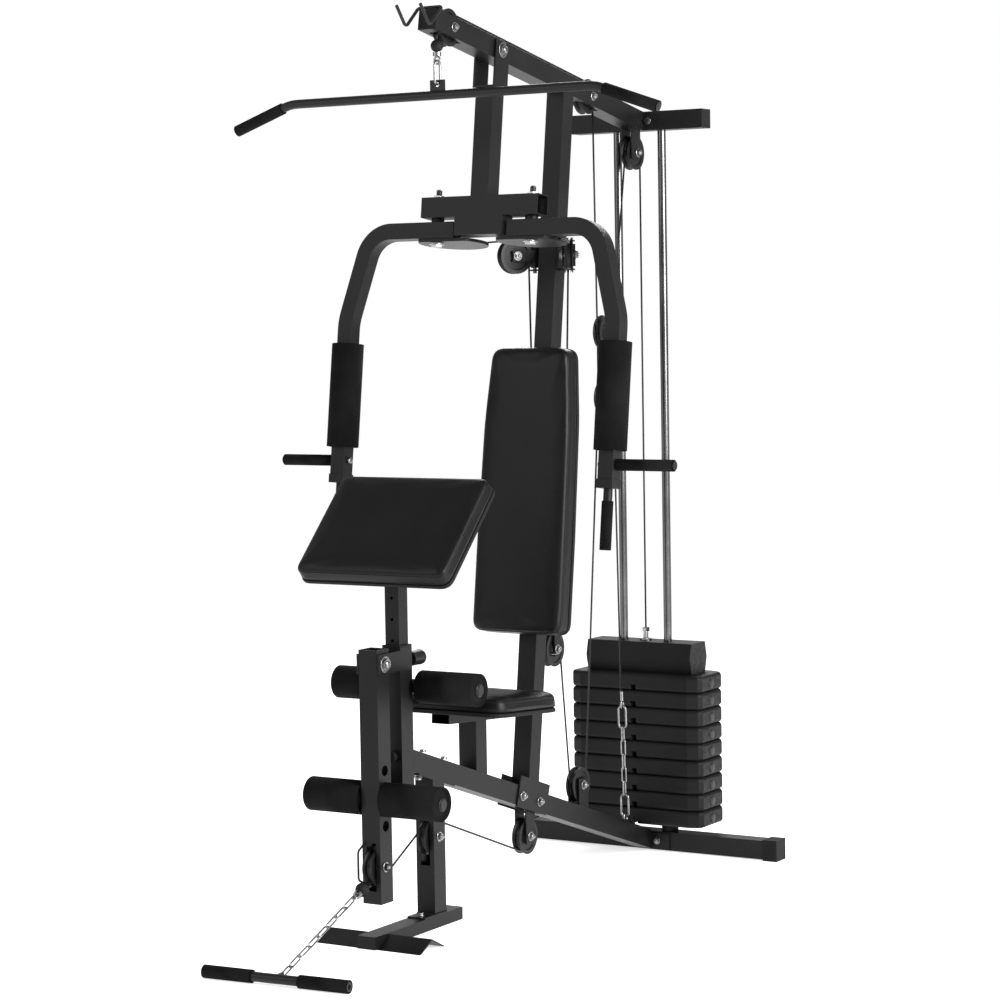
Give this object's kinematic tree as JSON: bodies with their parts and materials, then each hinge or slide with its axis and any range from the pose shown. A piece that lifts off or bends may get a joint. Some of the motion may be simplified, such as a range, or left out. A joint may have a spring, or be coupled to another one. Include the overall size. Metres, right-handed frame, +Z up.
{
  "type": "multi station home gym",
  "caption": "Home gym with a weight stack on guide rods, press arms, pulldown bar, leg developer, arm curl pad and padded seat on a square tube frame.",
  "frame": {"origin": "on the floor under the middle of the bounding box", "axes": "+Z up, -Y towards the front where the leg developer is, +X to the right of a person who looks along +Y"},
  "size_m": [1.1894, 1.8799, 2.1819],
  "materials": {
    "black_paint": "textured powder coat",
    "chrome": "polished",
    "black_wire": "satin black",
    "rubber": "matt",
    "vinyl": "grained vinyl cover",
    "foam": "closed cell foam",
    "plate_shell": "moulded",
    "cast_iron": "painted",
    "knob_plastic": "ribbed",
    "cable_jacket": "nylon coated",
    "pulley_nylon": "moulded nylon"
  },
  "bodies": {
    "frame": {"rear_base_tube": "black_paint", "front_beam": "black_paint", "rear_beam": "black_paint", "front_post": "black_paint", "front_leg": "black_paint", "front_foot": "black_paint", "upright": "black_paint", "top_beam": "black_paint", "top_cross_tube": "black_paint", "guide_rods": "chrome", "caps_and_bumpers": "rubber", "bar_hook": "black_wire", "seat_frame": "black_paint", "seat_pad": "vinyl", "back_pad": "vinyl", "upper_roller_bar": "chrome", "upper_foam": "foam", "plates_resting": "plate_shell", "frame_bolts": "chrome", "anchor_chain": "chrome", "upper_cable": "cable_jacket", "lower_cable": "cable_jacket", "fly_cable": "cable_jacket"},
    "carriage": {"plates_picked": "plate_shell", "top_block": "cast_iron", "selector_rod": "chrome"},
    "stack_pin": {"selector_pin": "knob_plastic"},
    "press": {"press_frame": "black_paint"},
    "left_press_arm": {"left_arm": "black_paint", "left_arm_foam": "foam"},
    "right_press_arm": {"right_arm": "black_paint", "right_arm_foam": "foam"},
    "leg_developer": {"leg_lever": "black_paint", "lever_roller_bar": "chrome", "lever_foam": "foam", "lever_ball": "rubber"},
    "low_pull_bar": {"low_bar": "black_paint", "low_grips": "foam"},
    "lat_pull_bar": {"lat_bar": "black_paint", "lat_grips": "foam"},
    "arm_curl": {"curl_post": "black_paint", "curl_pad": "vinyl"},
    "pop_pin_body": {"pop_pin": "knob_plastic"},
    "floating_body": {"floating_bracket": "black_paint"},
    "hanging_body": {"hanging_bracket": "black_paint"},
    "left_swivel_body": {"left_swivel": "black_paint"},
    "right_swivel_body": {"right_swivel": "black_paint"},
    "pulley_front_top_body": {"pulley_front_top": "pulley_nylon"},
    "pulley_rear_top_body": {"pulley_rear_top": "pulley_nylon"},
    "pulley_stack_body": {"pulley_stack": "pulley_nylon"},
    "pulley_float_upper_body": {"pulley_float_upper": "pulley_nylon"},
    "pulley_float_lower_body": {"pulley_float_lower": "pulley_nylon"},
    "pulley_hanger_lower_body": {"pulley_hanger_lower": "pulley_nylon"},
    "pulley_base_body": {"pulley_base": "pulley_nylon"},
    "pulley_under_body": {"pulley_under": "pulley_nylon"},
    "pulley_leg_body": {"pulley_leg": "pulley_nylon"},
    "pulley_lever_body": {"pulley_lever": "pulley_nylon"},
    "pulley_hanger_upper_body": {"pulley_hanger_upper": "pulley_nylon"},
    "pulley_left_swivel_body": {"pulley_left_swivel": "pulley_nylon"},
    "pulley_right_swivel_body": {"pulley_right_swivel": "pulley_nylon"}
  },
  "joints": [
    {"name": "stack_lift", "type": "slide", "parent": "frame", "child": "carriage", "axis": [0, 0, 1], "range_m": [0, 0.6], "deforming": ["upper_cable"]},
    {"name": "lat_pull", "type": "slide", "parent": "frame", "child": "lat_pull_bar", "axis": [0, 0, 1], "range_m": [-0.6, 0], "deforming": ["upper_cable"]},
    {"name": "selector_pull", "type": "slide", "parent": "carriage", "child": "stack_pin", "axis": [0, 1, 0], "range_m": [0, 0.1]},
    {"name": "press_swing", "type": "hinge", "parent": "frame", "child": "press", "pos_m": [0, 0.09092, 2.09598], "axis": [-1, 0, 0], "range_deg": [0, 40], "deforming": ["fly_cable"]},
    {"name": "left_arm_swing", "type": "hinge", "parent": "press", "child": "left_press_arm", "pos_m": [-0.134, 0.03872, 1.66017], "axis": [0, 0.1299, 0.9915], "range_deg": [0, 62], "deforming": ["fly_cable"]},
    {"name": "right_arm_swing", "type": "hinge", "parent": "press", "child": "right_press_arm", "pos_m": [0.134, 0.03872, 1.66017], "axis": [0, -0.1299, -0.9915], "range_deg": [0, 62], "deforming": ["fly_cable"]},
    {"name": "lever_swing", "type": "hinge", "parent": "frame", "child": "leg_developer", "pos_m": [0, -0.476, 0.656], "axis": [-1, 0, 0], "range_deg": [0, 75], "deforming": ["lower_cable"]},
    {"name": "chain_swing", "type": "hinge", "parent": "leg_developer", "child": "low_pull_bar", "pos_m": [0, -0.58001, 0.12702], "axis": [-1, 0, 0], "range_deg": [-105, 0]},
    {"name": "curl_height", "type": "slide", "parent": "frame", "child": "arm_curl", "axis": [0, 0, 1], "range_m": [-0.1, 0.05]},
    {"name": "pin_pull", "type": "slide", "parent": "frame", "child": "pop_pin_body", "axis": [0, 1, 0], "range_m": [0, 0.012], "stiffness_N_per_m": 800},
    {"name": "floating_slide", "type": "slide", "parent": "frame", "child": "floating_body", "axis": [0, 0, 1], "range_m": [-0.2, 0], "deforming": ["upper_cable", "lower_cable"]},
    {"name": "hanging_slide", "type": "slide", "parent": "frame", "child": "hanging_body", "axis": [0, 0, 1], "range_m": [0, 0.14], "deforming": ["lower_cable", "fly_cable"]},
    {"name": "left_swivel_turn", "type": "hinge", "parent": "frame", "child": "left_swivel_body", "pos_m": [-0.05, 0.365, 1.6], "axis": [0, 0, 1], "range_deg": [-12, 12], "deforming": ["fly_cable"]},
    {"name": "right_swivel_turn", "type": "hinge", "parent": "frame", "child": "right_swivel_body", "pos_m": [0.05, 0.365, 1.6], "axis": [0, 0, 1], "range_deg": [-12, 12], "deforming": ["fly_cable"]},
    {"name": "spin_front_top", "type": "hinge", "parent": "frame", "child": "pulley_front_top_body", "pos_m": [0, -0.119, 2.1355], "axis": [1, 0, 0], "range_deg": [0, 859.44]},
    {"name": "spin_rear_top", "type": "hinge", "parent": "frame", "child": "pulley_rear_top_body", "pos_m": [0, 0.547, 2.0103], "axis": [1, 0, 0], "range_deg": [0, 859.44]},
    {"name": "spin_stack", "type": "hinge", "parent": "frame", "child": "pulley_stack_body", "pos_m": [0, 0.801, 1.876], "axis": [1, 0, 0], "range_deg": [0, 859.44]},
    {"name": "spin_float_upper", "type": "hinge", "parent": "floating_body", "child": "pulley_float_upper_body", "pos_m": [0, 0.636, 1.402], "axis": [1, 0, 0], "range_deg": [-859.44, 0]},
    {"name": "spin_float_lower", "type": "hinge", "parent": "floating_body", "child": "pulley_float_lower_body", "pos_m": [0, 0.636, 1.23], "axis": [1, 0, 0], "range_deg": [0, 862.5]},
    {"name": "spin_hanger_lower", "type": "hinge", "parent": "hanging_body", "child": "pulley_hanger_lower_body", "pos_m": [0, 0.336, 0.6], "axis": [1, 0, 0], "range_deg": [0, 862.5]},
    {"name": "spin_base", "type": "hinge", "parent": "frame", "child": "pulley_base_body", "pos_m": [0, 0.46, 0.232], "axis": [1, 0, 0], "range_deg": [-862.5, 0]},
    {"name": "spin_under", "type": "hinge", "parent": "frame", "child": "pulley_under_body", "pos_m": [0, 0.187, 0.143], "axis": [1, 0, 0], "range_deg": [-862.5, 0]},
    {"name": "spin_leg", "type": "hinge", "parent": "frame", "child": "pulley_leg_body", "pos_m": [0, -0.249, 0.217], "axis": [1, 0, 0], "range_deg": [0, 862.5]},
    {"name": "spin_lever", "type": "hinge", "parent": "leg_developer", "child": "pulley_lever_body", "pos_m": [0, -0.48, 0.185], "axis": [1, 0, 0], "range_deg": [-862.5, 0]},
    {"name": "spin_hanger_upper", "type": "hinge", "parent": "hanging_body", "child": "pulley_hanger_upper_body", "pos_m": [0, 0.336, 0.8], "axis": [0, 1, 0], "range_deg": [0, 138.88]},
    {"name": "spin_left_swivel", "type": "hinge", "parent": "left_swivel_body", "child": "pulley_left_swivel_body", "pos_m": [-0.07893, 0.31473, 1.6], "axis": [0.8667, -0.4988, 0], "range_deg": [0, 138.88]},
    {"name": "spin_right_swivel", "type": "hinge", "parent": "right_swivel_body", "child": "pulley_right_swivel_body", "pos_m": [0.07893, 0.31473, 1.6], "axis": [0.8667, 0.4988, 0], "range_deg": [0, 138.88]}
  ],
  "couplings": [
    {"joint": "lat_pull", "follows": "stack_lift", "ratio": -1},
    {"joint": "chain_swing", "follows": "lever_swing", "ratio": -1.4},
    {"joint": "spin_front_top", "follows": "stack_lift", "rad_per_m": 25},
    {"joint": "spin_rear_top", "follows": "stack_lift", "rad_per_m": 25},
    {"joint": "spin_stack", "follows": "stack_lift", "rad_per_m": 25},
    {"joint": "spin_float_upper", "follows": "stack_lift", "rad_per_m": -25},
    {"joint": "spin_float_lower", "follows": "lever_swing", "ratio": 11.5},
    {"joint": "spin_hanger_lower", "follows": "lever_swing", "ratio": 11.5},
    {"joint": "spin_base", "follows": "lever_swing", "ratio": -11.5},
    {"joint": "spin_under", "follows": "lever_swing", "ratio": -11.5},
    {"joint": "spin_leg", "follows": "lever_swing", "ratio": 11.5},
    {"joint": "spin_lever", "follows": "lever_swing", "ratio": -11.5},
    {"joint": "spin_hanger_upper", "follows": "left_arm_swing", "ratio": 2.24},
    {"joint": "spin_left_swivel", "follows": "left_arm_swing", "ratio": 2.24},
    {"joint": "spin_right_swivel", "follows": "right_arm_swing", "ratio": 2.24}
  ]
}
